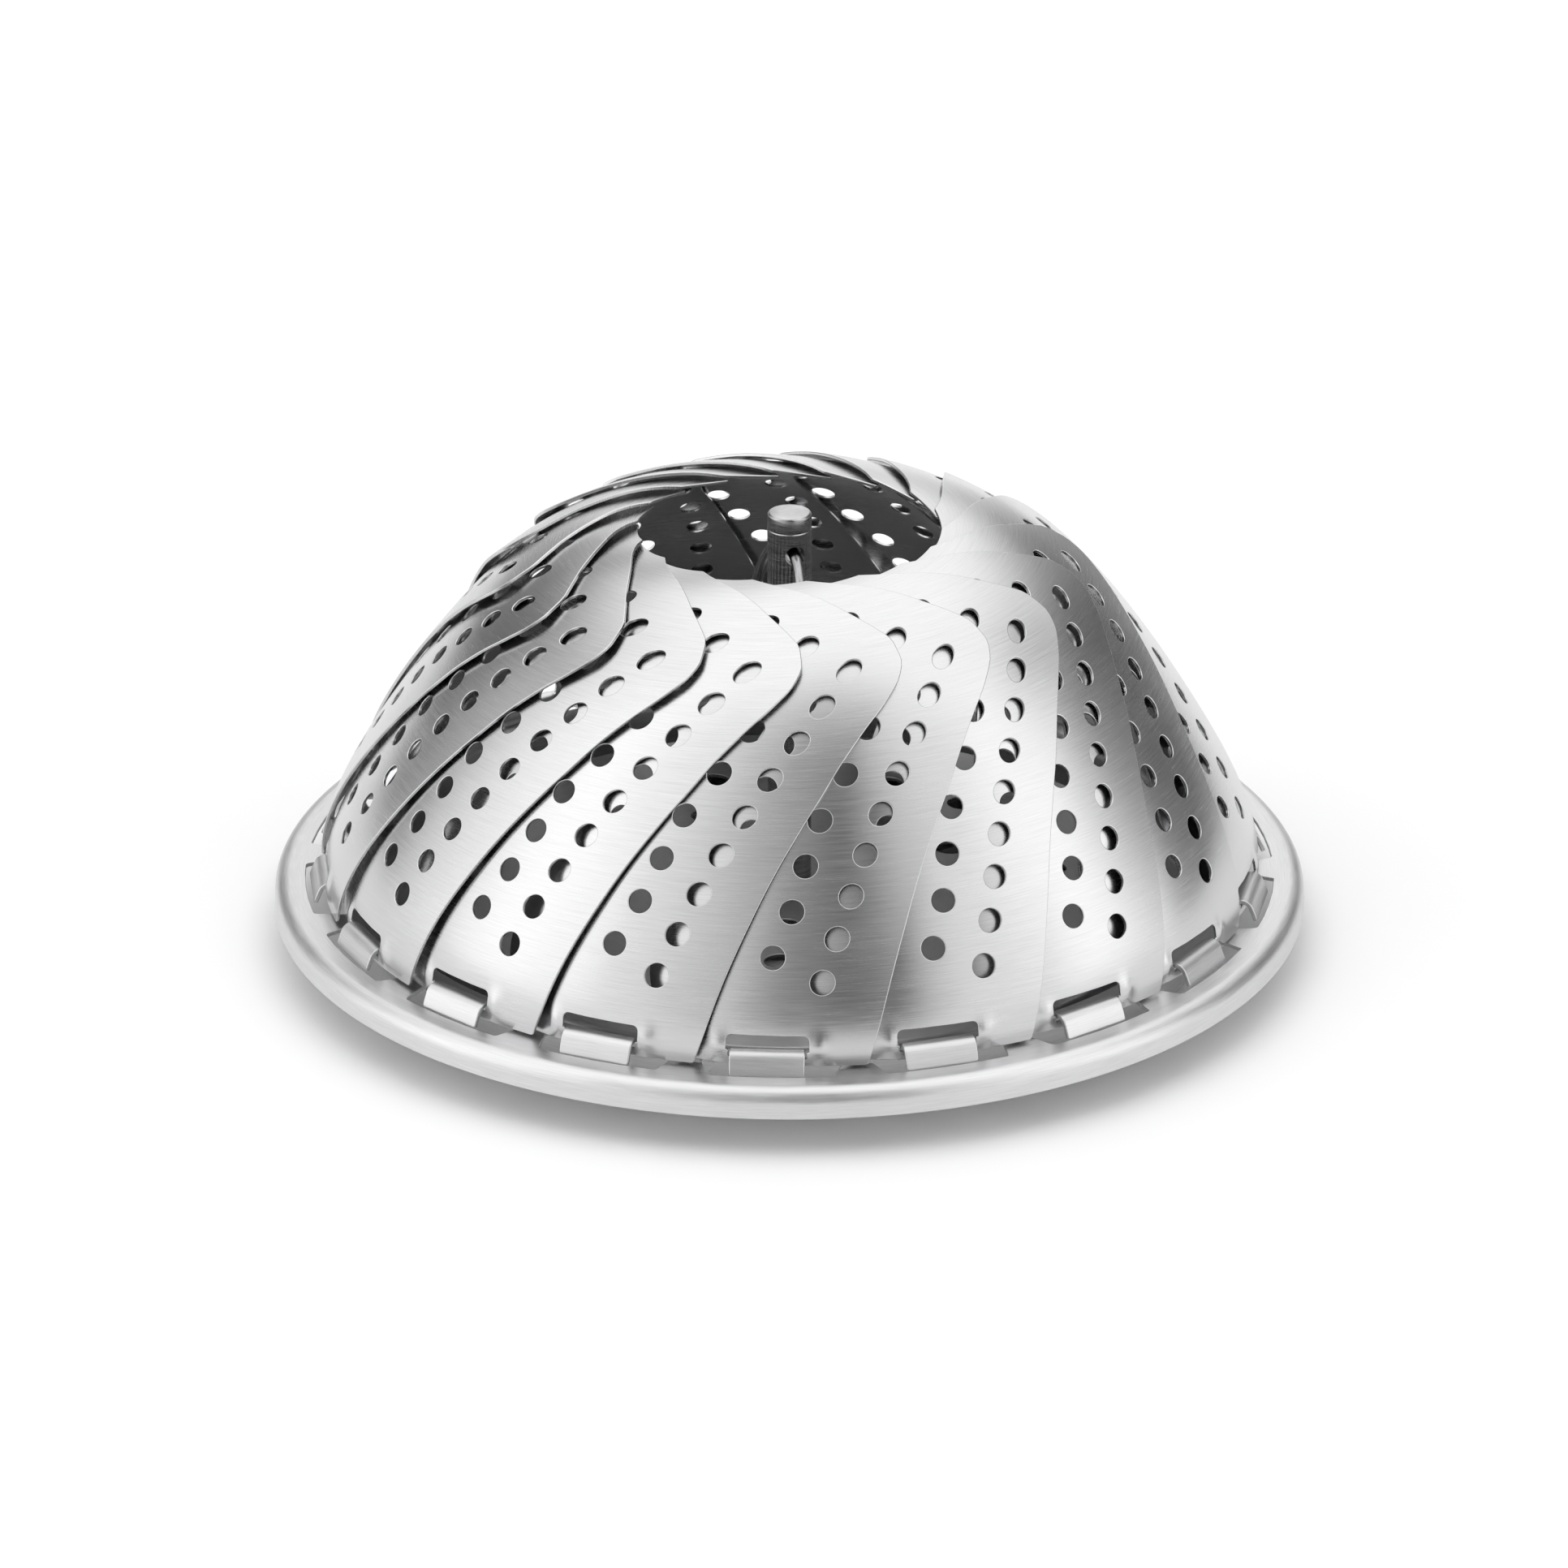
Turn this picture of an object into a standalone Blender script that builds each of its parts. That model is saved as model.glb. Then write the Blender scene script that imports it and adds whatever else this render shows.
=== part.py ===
"""Folding steamer basket, closed: eighteen overlapping perforated leaves on a
stamped base plate, with a centre post, a lift ring and three folding legs.

Metres, +Z up. The origin is on the basket's axis, in the plane of the flat
land under the base plate that the basket rests on. Leaf 1 is at -Y.
Angles of a leaf are measured from the middle of its own hinge tab, positive
to the right when it is seen from outside.
"""
import bpy
import bmesh
import math
import numpy as np
from mathutils import Matrix, Vector
from mathutils.geometry import delaunay_2d_cdt

MM = 0.001

# ---------------------------------------------------------------- dimensions
N_LEAVES = 18
PITCH = 360.0 / N_LEAVES          # degrees between leaves

RIM_R = 70.0                      # outer radius of the base plate's skirt
RIM_LIFT = 5.0                    # skirt's lower edge above the resting land
PLATE_T = 0.6                     # base plate sheet
FLANGE_TOP = RIM_LIFT + 3.86      # upper face of the flat flange
FIELD_TOP = 5.6                   # upper face of the perforated field

HINGE_R = 62.8                    # leaf hinge axis: radius and height
HINGE_Z = RIM_LIFT + 4.75
TAB_W = 9.6                       # hinge tab width
TAB_R = 1.3                       # bend radius of the tab round the hinge axis
NOTCH_IN, NOTCH_OUT = 60.9, 65.7  # lanced notch in the flange
NOTCH_HALF_IN, NOTCH_HALF_OUT = 8.6, 7.1     # its half angle, inner and outer side
NOTCH_SKEW = 0.4                  # its middle lies a little right of the tab

LEAF_T = 0.45                     # leaf sheet
LEAF_R0 = 63.0                    # foot of the leaf
LEAF_Z0 = RIM_LIFT + 4.25
LEAF_LEN = 68.1                   # foot to tip, along the leaf
LEAF_BEND = (218.7, -518.0, 531.4, -162.7)   # slope in degrees, powers of s/60
LEAF_LIFT = ((2.66, 1.47, -1.76), (-6.65, -2.31, 8.94), (15.10, -15.63, 0.0))   # rise
                                  # across the leaf in mm: rows are powers of angle / 45,
                                  # columns powers of s/60
SLOT_HALF = 5.3                   # hinge slot: half width, lower and upper edge
SLOT_LO, SLOT_HI = 1.05, 3.9
HOLE_R = 1.55

# free (right-hand) edge and covered (left-hand) edge: (distance, angle)
FREE_EDGE = ((0.0, 11.6), (10.4, 14.7), (16.0, 16.8), (23.4, 20.2), (30.0, 24.3),
             (33.4, 26.9), (38.0, 30.7), (42.0, 35.0), (46.0, 40.4), (48.6, 43.6),
             (51.0, 45.0), (53.5, 44.8), (56.0, 42.2), (58.5, 38.3), (60.8, 34.2),
             (63.1, 28.6), (65.4, 20.0), (67.2, 12.5), (68.1, 9.0))
COVERED_EDGE = ((0.0, -10.0), (6.0, -13.6), (12.0, -15.2), (18.0, -14.6), (23.4, -12.6),
                (30.0, -9.8), (36.0, -6.6), (42.0, -3.0), (48.0, 1.2), (53.0, 2.2),
                (58.0, -1.5), (62.0, -6.5), (68.1, -14.0))
# lines of holes: knots (distance, angle), first distance, step, change of step, count
HOLE_LINES = (
    (((10.6, 6.5), (21.2, 10.6), (31.7, 16.1), (41.5, 24.1), (50.3, 34.3)), 10.6, 5.50, -0.067, 9),
    (((13.5, 0.4), (25.9, 5.0), (36.8, 11.3), (48.2, 20.7), (54.4, 26.2)), 13.8, 5.80, 0.0, 8),
    (((19.0, -4.6), (31.0, -2.6), (41.0, 1.2), (50.0, 8.0), (58.2, 16.9)), 58.2, 5.70, 0.0, 1),
)

POST_R = 2.95
POST_TOP = RIM_LIFT + 54.7
RING_HOLE_Z = RIM_LIFT + 49.4     # cross hole of the post
RING_HOLE_R = 1.35
RING_AZ = 108.6                   # direction of the cross hole, degrees from +X
RING_R = 10.0                     # lift ring, centre line
RING_WIRE = 0.75
RING_LEAN = 12.0                  # the ring hangs against the post

LEG_PIVOT_R = 46.5
LEG_PIVOT_Z = 3.4
LEG_WIRE = 1.2
LEG_LEN = 34.5
LEG_AZ = (-90.0, 30.0, 150.0)
CLIP_W = 8.0


# ------------------------------------------------------------------- helpers
def clear_scene():
    for ob in list(bpy.data.objects):
        bpy.data.objects.remove(ob, do_unlink=True)


def material(name, colour, rough, metal):
    m = bpy.data.materials.new(name)
    m.use_nodes = True
    b = m.node_tree.nodes["Principled BSDF"]
    b.inputs["Base Color"].default_value = (*colour, 1.0)
    b.inputs["Roughness"].default_value = rough
    b.inputs["Metallic"].default_value = metal
    m.diffuse_color = (*colour, 1.0)
    return m


def add_object(name, mesh, mat=None, cutter=False):
    ob = bpy.data.objects.new(name, mesh)
    bpy.context.scene.collection.objects.link(ob)
    if mat is not None and not mesh.materials:
        mesh.materials.append(mat)
    if cutter:
        ob.hide_render = True
        ob.display_type = "WIRE"
    return ob


def finish(bm, name, smooth=35.0):
    """Turn a bmesh in millimetres into a mesh in metres, faces outward."""
    bmesh.ops.remove_doubles(bm, verts=bm.verts, dist=1e-5)
    bmesh.ops.recalc_face_normals(bm, faces=bm.faces)
    bmesh.ops.scale(bm, vec=(MM, MM, MM), verts=bm.verts)
    me = bpy.data.meshes.new(name)
    bm.to_mesh(me)
    bm.free()
    if smooth:
        me.shade_smooth()
        me.set_sharp_from_angle(angle=math.radians(smooth))
    return me


def boolean(ob, other, op):
    m = ob.modifiers.new(op.lower(), "BOOLEAN")
    m.operation = op
    m.object = other
    m.solver = "EXACT"
    return m


def curve(knots):
    """Shape-preserving cubic through (x, y) knots."""
    x = np.array([k[0] for k in knots], float)
    y = np.array([k[1] for k in knots], float)
    h = np.diff(x)
    d = np.diff(y) / h
    m = np.zeros(len(x))
    m[0], m[-1] = d[0], d[-1]
    for i in range(1, len(x) - 1):
        if d[i - 1] * d[i] > 0:
            w1, w2 = 2 * h[i] + h[i - 1], h[i] + 2 * h[i - 1]
            m[i] = (w1 + w2) / (w1 / d[i - 1] + w2 / d[i])

    def f(v):
        i = int(np.clip(np.searchsorted(x, v) - 1, 0, len(h) - 1))
        t = (v - x[i]) / h[i]
        return ((2 * t ** 3 - 3 * t ** 2 + 1) * y[i] + (t ** 3 - 2 * t ** 2 + t) * h[i] * m[i]
                + (3 * t ** 2 - 2 * t ** 3) * y[i + 1] + (t ** 3 - t ** 2) * h[i] * m[i + 1])
    return f


# ---------------------------------------------------------------- leaf shape
def leaf_slope(s):
    t = max(s, 0.0) / 60.0
    return math.radians(sum(c * t ** (k + 1) for k, c in enumerate(LEAF_BEND)))


def build_profile(step=0.05):
    n = int(LEAF_LEN / step) + 40
    r, z, rows = LEAF_R0, LEAF_Z0, []
    for i in range(n):
        rows.append((i * step, r, z))
        a = leaf_slope((i + 0.5) * step)
        r -= math.sin(a) * step
        z += math.cos(a) * step
    return np.array(rows)


PROFILE = build_profile()


def profile(s):
    return (float(np.interp(s, PROFILE[:, 0], PROFILE[:, 1])),
            float(np.interp(s, PROFILE[:, 0], PROFILE[:, 2])))


def leaf_lift(phi, s):
    x, t = phi / 45.0, s / 60.0
    return sum((a + b * t + c * t * t) * x ** (k + 1) for k, (a, b, c) in enumerate(LEAF_LIFT))


def leaf_point(w, s):
    """Flat pattern (w across, s along) to the pressed shape of leaf 1."""
    r, z = profile(s)
    phi = math.degrees(w / r)
    up = leaf_slope(s)
    e = leaf_lift(phi, s)
    p = math.radians(phi)
    rr = r + e * math.cos(up)
    return Vector((rr * math.sin(p), -rr * math.cos(p), z + e * math.sin(up)))


def leaf_mesh():
    free, covered = curve(FREE_EDGE), curve(COVERED_EDGE)

    def flat(phi, s):
        return (math.radians(phi) * profile(s)[0], s)

    right_s = [0, 8, 16, 23, 29, 35, 40, 44, 47, 49.5, 51.5, 53.5, 56, 58.5, 61, 63.3, 65.7, LEAF_LEN]
    left_s = [62, 57.5, 53, 48, 42, 36, 30, 23.4, 17, 11, 5, 0]
    outline = [flat(free(s), s) for s in right_s]
    outline += [flat(-4.0, LEAF_LEN), flat(covered(LEAF_LEN), LEAF_LEN)]
    outline += [flat(covered(s), s) for s in left_s]
    outline += [flat(phi, 0.0) for phi in (-6.0, -2.2, 2.2, 6.0)]
    loops = [outline,
             [(-SLOT_HALF, SLOT_LO), (SLOT_HALF, SLOT_LO), (SLOT_HALF, SLOT_HI - 0.5),
              (SLOT_HALF - 0.5, SLOT_HI), (-SLOT_HALF + 0.5, SLOT_HI), (-SLOT_HALF, SLOT_HI - 0.5)]]
    centres = []
    for knots, s0, step, change, count in HOLE_LINES:
        line = curve(knots)
        for k in range(count):
            s = s0 + step * k + change * k * k
            centres.append(flat(line(s), s))
    sides = 6
    grow = math.sqrt(math.pi / (0.5 * sides * math.sin(2 * math.pi / sides)))
    for cx, cy in centres:
        loops.append([(cx + HOLE_R * grow * math.cos(2 * math.pi * (k + 0.5) / sides),
                       cy + HOLE_R * grow * math.sin(2 * math.pi * (k + 0.5) / sides))
                      for k in range(sides)])
    # a few inner points keep the pressed curve where no hole does
    inner = []
    for s in (9.0, 17.0, 25.0, 33.0, 41.0, 49.0, 57.0):
        for phi in np.arange(-12.0, 44.0, 7.5 if s < 50 else 11.0):
            if covered(s) + 4.5 < phi < free(s) - 4.5:
                p = flat(phi, s)
                if all(math.hypot(p[0] - c[0], p[1] - c[1]) > 3.6 for c in centres):
                    inner.append(p)

    verts, edges = [], []
    for loop in loops:
        base = len(verts)
        verts += [Vector(p) for p in loop]
        edges += [(base + k, base + (k + 1) % len(loop)) for k in range(len(loop))]
    verts += [Vector(p) for p in inner]
    out_v, _, out_f, _, _, _ = delaunay_2d_cdt(verts, edges, [], 0, 1e-5, False)

    def within(p, loop):
        hit = False
        for k in range(len(loop)):
            a, b = loop[k], loop[(k + 1) % len(loop)]
            if (a[1] > p[1]) != (b[1] > p[1]):
                if p[0] < (b[0] - a[0]) * (p[1] - a[1]) / (b[1] - a[1]) + a[0]:
                    hit = not hit
        return hit

    bm = bmesh.new()
    bv = [bm.verts.new(leaf_point(v.x, v.y)) for v in out_v]
    for f in out_f:
        c = sum((out_v[i] for i in f), Vector((0, 0))) / len(f)
        if within(c, loops[0]) and not any(within(c, lp) for lp in loops[1:]):
            bm.faces.new([bv[i] for i in f])
    for v in [v for v in bm.verts if not v.link_faces]:
        bm.verts.remove(v)
    bmesh.ops.recalc_face_normals(bm, faces=bm.faces)
    bm.faces.ensure_lookup_table()
    if sum((f.calc_area() * f.normal.dot(f.calc_center_median().normalized()) for f in bm.faces)) < 0:
        bmesh.ops.reverse_faces(bm, faces=bm.faces)
    bmesh.ops.scale(bm, vec=(MM, MM, MM), verts=bm.verts)
    me = bpy.data.meshes.new("leaf_pressing")
    bm.to_mesh(me)
    bm.free()
    me.shade_smooth()
    me.set_sharp_from_angle(angle=math.radians(35))
    return me


# ----------------------------------------------------------------- sheet work
def offset_chain(points, t):
    """Closed section of a sheet whose middle runs along points."""
    pts = [Vector(p) for p in points]
    left, right = [], []
    for k, p in enumerate(pts):
        dirs = []
        if k > 0:
            dirs.append((p - pts[k - 1]).normalized())
        if k < len(pts) - 1:
            dirs.append((pts[k + 1] - p).normalized())
        d = sum(dirs, Vector((0, 0))).normalized()
        n = Vector((-d.y, d.x))
        scale = 0.5 * t / max(0.4, n.dot(Vector((-dirs[0].y, dirs[0].x))))
        left.append(p + n * scale)
        right.append(p - n * scale)
    return left, right


def prism(bm, loop, axis_u, x_lo, x_hi):
    """Extrude a closed (r, z) loop along the tangent, at the given azimuth."""
    o = Vector((math.cos(axis_u), math.sin(axis_u), 0))
    tang = Vector((-o.y, o.x, 0))
    verts = [bm.verts.new(o * p[0] + Vector((0, 0, p[1])) + tang * x_lo) for p in loop]
    face = bm.faces.new(verts)
    geo = bmesh.ops.extrude_face_region(bm, geom=[face])
    moved = [g for g in geo["geom"] if isinstance(g, bmesh.types.BMVert)]
    bmesh.ops.translate(bm, vec=tang * (x_hi - x_lo), verts=moved)


def upright_prism(bm, ring, z_lo, z_hi):
    verts = [bm.verts.new((p[0], p[1], z_lo)) for p in ring]
    face = bm.faces.new(verts)
    geo = bmesh.ops.extrude_face_region(bm, geom=[face])
    moved = [g for g in geo["geom"] if isinstance(g, bmesh.types.BMVert)]
    bmesh.ops.translate(bm, vec=(0, 0, z_hi - z_lo), verts=moved)


def circle(cx, cy, r, n, turn=0.0):
    return [(cx + r * math.cos(turn + 2 * math.pi * k / n),
             cy + r * math.sin(turn + 2 * math.pi * k / n)) for k in range(n)]


def turned(points, n, cap=False):
    """Solid turned from an (r, z) chain that ends on the axis, meets itself or is capped."""
    bm = bmesh.new()
    rings = []
    for r, z in points:
        if r < 1e-6:
            rings.append([bm.verts.new((0, 0, z))])
        else:
            rings.append([bm.verts.new((x, y, z)) for x, y in circle(0, 0, r, n)])
    for a, b in zip(rings, rings[1:]):
        for k in range(n):
            q = [a[k % len(a)], a[(k + 1) % len(a)], b[(k + 1) % len(b)], b[k % len(b)]]
            q = [v for i, v in enumerate(q) if v not in q[:i]]
            if len(q) > 2:
                bm.faces.new(q)
    for ring in (rings[0], rings[-1]):
        if cap and len(ring) > 1:
            bm.faces.new(ring)
    return bm


def base_plate(mat):
    flange = FLANGE_TOP - PLATE_T / 2
    field = FIELD_TOP - PLATE_T / 2
    land = PLATE_T / 2
    mid = [(50.0, field), (50.8, field - 0.7), (51.2, land + 0.8), (52.0, land),
           (56.2, land), (57.0, land + 0.9), (57.4, flange - 0.7), (58.4, flange),
           (67.7, flange), (68.6, flange - 0.14), (69.38, flange - 0.95),
           (RIM_R - PLATE_T / 2, RIM_LIFT)]
    upper, lower = offset_chain(mid, PLATE_T)
    upper[0].x = lower[0].x = 50.0
    upper[0].y, lower[0].y = field + PLATE_T / 2, field - PLATE_T / 2
    upper[-1].y = lower[-1].y = RIM_LIFT
    upper[-1].x, lower[-1].x = RIM_R, RIM_R - PLATE_T
    chain = [(p.x, p.y) for p in upper] + [(p.x, p.y) for p in reversed(lower)]
    seg = 3 * N_LEAVES
    plate = add_object("base_plate", finish(turned(chain, seg, cap=True), "base_plate"), mat)

    # lanced notches in the flange
    bm = bmesh.new()
    for i in range(N_LEAVES):
        c = -90.0 + PITCH * i + NOTCH_SKEW
        ring = []
        for r, half, parts in ((NOTCH_OUT, NOTCH_HALF_OUT, (-1, -0.33, 0.33, 1)),
                               (NOTCH_IN, NOTCH_HALF_IN, (1, 0, -1))):
            for f in parts:
                a = math.radians(c + f * half)
                ring.append((r * math.cos(a), r * math.sin(a)))
        upright_prism(bm, ring, FLANGE_TOP - 1.5, FLANGE_TOP + 1.0)
    boolean(plate, add_object("notch_punch", finish(bm, "notch_punch", 0), cutter=True), "DIFFERENCE")

    # perforated field, with the post's hole in the middle
    bm = bmesh.new()
    upright_prism(bm, circle(0, 0, 2.45, 12), FIELD_TOP - 2, FIELD_TOP + 1)
    for r, n, turn in ((14.0, 6, 0.5), (25.0, 12, 0.0), (36.0, 18, 0.5)):
        for k in range(n):
            a = 2 * math.pi * (k + turn) / n
            upright_prism(bm, circle(r * math.cos(a), r * math.sin(a), 2.2, 6, a),
                          FIELD_TOP - 2, FIELD_TOP + 1)
    boolean(plate, add_object("field_punch", finish(bm, "field_punch", 0), cutter=True), "DIFFERENCE")

    # hinge tabs, bent up out of the notches and over the leaves' feet
    path = [(59.7, flange), (61.1, flange + 0.06), (61.42, flange + 0.45)]
    for a in (180, 140, 100, 60, 30):
        path.append((HINGE_R + TAB_R * math.cos(math.radians(a)),
                     HINGE_Z + TAB_R * math.sin(math.radians(a))))
    path += [(64.75, FLANGE_TOP - 0.4)]
    left, right = offset_chain(path, PLATE_T)
    # the root is buried inside the flange
    left[0].y, right[0].y = flange + 0.2, flange - 0.2
    loop = [(p.x, p.y) for p in left] + [(p.x, p.y) for p in reversed(right)]
    bm = bmesh.new()
    for i in range(N_LEAVES):
        prism(bm, loop, math.radians(-90.0 + PITCH * i), -TAB_W / 2, TAB_W / 2)
    boolean(plate, add_object("tab_stock", finish(bm, "tab_stock", 0), cutter=True), "UNION")
    return plate


def wire_loop(name, points, radius, mat, location, sides=2):
    """Round wire bent into a closed loop."""
    cu = bpy.data.curves.new(name, "CURVE")
    cu.dimensions = "3D"
    cu.bevel_depth = radius * MM
    cu.bevel_resolution = sides
    cu.use_fill_caps = True
    sp = cu.splines.new("POLY")
    sp.points.add(len(points) - 1)
    for p, q in zip(sp.points, points):
        p.co = (q[0] * MM, q[1] * MM, q[2] * MM, 1.0)
    sp.use_cyclic_u = True
    sp.use_smooth = True
    cu.materials.append(mat)
    ob = bpy.data.objects.new(name, cu)
    bpy.context.scene.collection.objects.link(ob)
    ob.location = Vector(location) * MM
    return ob


def main():
    clear_scene()
    steel = material("brushed_stainless", (0.72, 0.72, 0.73), 0.30, 1.0)
    plate_steel = material("plate_stainless", (0.70, 0.70, 0.71), 0.32, 1.0)
    post_steel = material("turned_stainless", (0.55, 0.55, 0.56), 0.25, 1.0)
    wire_steel = material("wire_stainless", (0.66, 0.66, 0.67), 0.22, 1.0)
    zinc = material("zinc_fastener", (0.60, 0.61, 0.63), 0.35, 1.0)

    base_plate(plate_steel)

    # eighteen leaves, each under an empty on its own hinge axis
    pressing = leaf_mesh()
    pressing.materials.append(steel)
    for i in range(N_LEAVES):
        a = math.radians(PITCH * i)
        hinge = bpy.data.objects.new("hinge_axis_%02d" % (i + 1), None)
        bpy.context.scene.collection.objects.link(hinge)
        hinge.empty_display_size = 0.004
        hinge.location = Vector((HINGE_R * math.sin(a), -HINGE_R * math.cos(a), HINGE_Z)) * MM
        hinge.rotation_euler = (0, 0, a)
        leaf = add_object("petal_%02d" % (i + 1), pressing)
        leaf.parent = hinge
        leaf.location = Vector((0, HINGE_R, -HINGE_Z)) * MM
        sheet = leaf.modifiers.new("sheet", "SOLIDIFY")
        sheet.thickness = LEAF_T * MM
        sheet.offset = 0.0
        sheet.use_even_offset = True

    # centre post: threaded stud, shoulder, shank with a turned groove, cross hole
    g = POST_TOP - 2.2
    bm = turned([(0, 1.0), (1.7, 1.0), (2.0, 1.3), (2.0, FIELD_TOP + 0.3), (POST_R, FIELD_TOP + 0.3),
                 (POST_R, g - 0.25), (POST_R - 0.18, g - 0.1), (POST_R - 0.18, g + 0.1),
                 (POST_R, g + 0.25), (POST_R, POST_TOP - 0.25), (POST_R - 0.25, POST_TOP),
                 (0, POST_TOP)], 20)
    post = add_object("centre_post", finish(bm, "centre_post"), post_steel)
    az = math.radians(RING_AZ)
    along = Vector((math.cos(az), math.sin(az), 0))
    bm = bmesh.new()
    bmesh.ops.create_cone(bm, cap_ends=True, segments=12, radius1=RING_HOLE_R, radius2=RING_HOLE_R,
                          depth=POST_R * 2 + 2)
    bmesh.ops.rotate(bm, verts=bm.verts, cent=(0, 0, 0),
                     matrix=Vector((0, 0, 1)).rotation_difference(along).to_matrix())
    bmesh.ops.translate(bm, verts=bm.verts, vec=(0, 0, RING_HOLE_Z))
    boolean(post, add_object("cross_drill", finish(bm, "cross_drill", 0), cutter=True), "DIFFERENCE")

    # lift ring: its origin is on the cross hole's axis
    sag = POST_R ** 2 / (4 * RING_R)
    lean = math.radians(RING_LEAN)
    aside = Vector((0, 0, 1)).cross(along)
    down = Vector((0, 0, -1)) * math.cos(lean) + aside * math.sin(lean)
    pts = []
    for k in range(28):
        t = 2 * math.pi * k / 28
        pts.append(down * (RING_R * (1 - math.cos(t)) - sag) + along * (RING_R * math.sin(t)))
    wire_loop("lift_ring", pts, RING_WIRE, wire_steel, (0, 0, RING_HOLE_Z), 2)

    # washer and nut under the field
    under = FIELD_TOP - PLATE_T
    bm = turned([(2.35, under - 0.3), (5.0, under - 0.3), (5.0, under - 0.9), (2.35, under - 0.9),
                 (2.35, under - 0.3)], 16)
    add_object("post_washer", finish(bm, "post_washer"), zinc)
    bm = bmesh.new()
    z_hi, z_lo = under - 1.2, 1.5
    outer = circle(0, 0, 3.5 / math.cos(math.pi / 6), 6)
    inner = circle(0, 0, 2.35, 12)
    for z in (z_lo, z_hi):
        o = [bm.verts.new((x, y, z)) for x, y in outer]
        n = [bm.verts.new((x, y, z)) for x, y in inner]
        oe = [bm.edges.new((o[k], o[(k + 1) % 6])) for k in range(6)]
        ne = [bm.edges.new((n[k], n[(k + 1) % 12])) for k in range(12)]
        bmesh.ops.triangle_fill(bm, edges=oe + ne, use_beauty=True)
        if z == z_lo:
            low_o, low_n = o, n
    for k in range(6):
        bm.faces.new((low_o[k], low_o[(k + 1) % 6], o[(k + 1) % 6], o[k]))
    for k in range(12):
        bm.faces.new((low_n[k], low_n[(k + 1) % 12], n[(k + 1) % 12], n[k]))
    add_object("post_nut", finish(bm, "post_nut", 20), zinc)

    # folding legs: closed wire loops that hang on their outer bar
    for i, deg in enumerate(LEG_AZ):
        a = math.radians(deg)
        out = Vector((math.cos(a), math.sin(a), 0))
        side = Vector((-out.y, out.x, 0))
        corners = [((-8.2, 0.0), 2.6), ((8.2, 0.0), 2.6), ((5.0, LEG_LEN), 3.6), ((-5.0, LEG_LEN), 3.6)]
        flat = []
        for k, (c, rad) in enumerate(corners):
            p = Vector(c)
            d0 = (Vector(corners[k - 1][0]) - p).normalized()
            d1 = (Vector(corners[(k + 1) % 4][0]) - p).normalized()
            half = d0.angle(d1) / 2
            cut = rad / math.tan(half)
            centre = p + (d0 + d1).normalized() * (rad / math.sin(half))
            v0, v1 = p + d0 * cut - centre, p + d1 * cut - centre
            turn = v0.angle_signed(v1)
            for j in range(5):
                th = -turn * j / 4
                flat.append(centre + Vector((v0.x * math.cos(th) - v0.y * math.sin(th),
                                             v0.x * math.sin(th) + v0.y * math.cos(th))))
        pts = [side * p.x - out * p.y for p in flat]
        wire_loop("leg_%d" % (i + 1), pts, LEG_WIRE, wire_steel,
                  out * LEG_PIVOT_R + Vector((0, 0, LEG_PIVOT_Z)), 2)

        # clip: a strap welded under the field, round the leg's outer bar
        foot = under - 0.3 - 0.3
        rr = LEG_WIRE + 0.4 + 0.3
        chain = [(LEG_PIVOT_R - 4.4, foot), (LEG_PIVOT_R - 2.2, foot)]
        for deg2 in (195, 225, 270, 315, 345):
            chain.append((LEG_PIVOT_R + rr * math.cos(math.radians(deg2)),
                          LEG_PIVOT_Z + rr * math.sin(math.radians(deg2))))
        chain += [(LEG_PIVOT_R + 2.2, foot), (LEG_PIVOT_R + 3.6, foot)]
        left, right = offset_chain(chain, 0.6)
        loop = [(p.x, p.y) for p in left] + [(p.x, p.y) for p in reversed(right)]
        bm = bmesh.new()
        prism(bm, loop, a, -CLIP_W / 2, CLIP_W / 2)
        add_object("leg_clip_%d" % (i + 1), finish(bm, "leg_clip_%d" % (i + 1)), plate_steel)


main()
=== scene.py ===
import math

import bmesh
import bpy
import numpy as np
from mathutils import Matrix, Vector
from mathutils.geometry import delaunay_2d_cdt


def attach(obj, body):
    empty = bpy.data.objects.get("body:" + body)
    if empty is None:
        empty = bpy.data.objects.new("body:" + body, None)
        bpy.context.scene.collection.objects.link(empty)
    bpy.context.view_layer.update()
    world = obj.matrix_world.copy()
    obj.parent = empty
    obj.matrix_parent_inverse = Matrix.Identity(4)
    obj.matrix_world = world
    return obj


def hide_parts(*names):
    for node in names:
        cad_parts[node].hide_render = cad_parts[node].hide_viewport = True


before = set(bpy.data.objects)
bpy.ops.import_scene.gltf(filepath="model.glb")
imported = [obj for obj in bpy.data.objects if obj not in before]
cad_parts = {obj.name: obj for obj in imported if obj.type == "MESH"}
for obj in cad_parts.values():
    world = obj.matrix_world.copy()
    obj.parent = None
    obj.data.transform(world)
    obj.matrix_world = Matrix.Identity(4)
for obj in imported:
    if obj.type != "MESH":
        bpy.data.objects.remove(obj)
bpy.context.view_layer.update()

MM = 0.001
N = 18

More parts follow.
